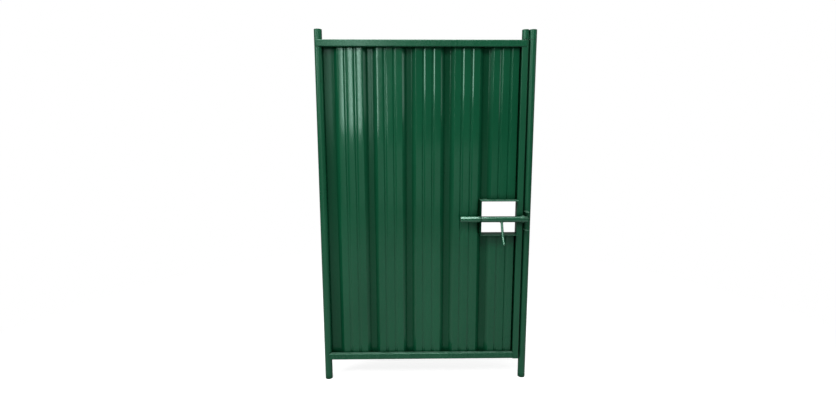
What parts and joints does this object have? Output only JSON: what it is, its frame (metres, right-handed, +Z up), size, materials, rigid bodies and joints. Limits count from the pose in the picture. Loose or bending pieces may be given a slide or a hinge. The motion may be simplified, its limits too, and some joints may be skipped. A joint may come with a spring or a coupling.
{
  "type": "hoarding pedestrian gate",
  "caption": "Pedestrian gate for site hoarding: profiled steel leaf on a turning hinge post, with a slide bolt reached through a framed window, and a latch post with a keeper.",
  "frame": {"origin": "centre of the latch post's flat foot, on the post's axis", "axes": "+Z up; +X along the gate from the hinge post towards the latch post; +Y away from the side that carries the bolt"},
  "size_m": [1.2, 0.1584, 2],
  "materials": {
    "coated_tube": "satin powder coat, dark moss green",
    "coated_sheet": "satin coil coat, dark moss green",
    "coated_bar": "satin powder coat, dark moss green",
    "coated_bolt": "satin powder coat, rubbed where it slides",
    "end_cap": "satin powder coat, dark moss green"
  },
  "bodies": {
    "latch_post": {"latch_post": "coated_tube", "latch_post_foot_disc": "coated_tube", "latch_post_head": "coated_tube", "lift_stop_stub": "coated_tube", "keeper_lug_top": "coated_bar", "keeper_lug_bottom": "coated_bar"},
    "gate_leaf": {"hinge_post": "coated_tube", "hinge_post_foot_disc": "coated_tube", "top_rail": "coated_bar", "bottom_rail": "coated_bar", "lock_stile": "coated_tube", "stile_cap_top": "end_cap", "stile_cap_bottom": "end_cap", "sheet_main": "coated_sheet", "sheet_over_window": "coated_sheet", "sheet_under_window": "coated_sheet", "window_bar_top": "coated_bar", "window_bar_bottom": "coated_bar", "window_bar_left": "coated_bar", "bolt_guide_ring": "coated_bolt"},
    "slide_bolt": {"bolt_tube": "coated_bolt", "bolt_handle": "coated_bolt"}
  },
  "joints": [
    {"name": "gate_swing", "type": "hinge", "parent": "latch_post", "child": "gate_leaf", "pos_m": [-1.1576, 0, 0], "axis": [0, 0, -1], "range_deg": [0, 110]},
    {"name": "bolt_slide", "type": "slide", "parent": "gate_leaf", "child": "slide_bolt", "axis": [-1, 0, 0], "range_m": [0, 0.03]}
  ]
}
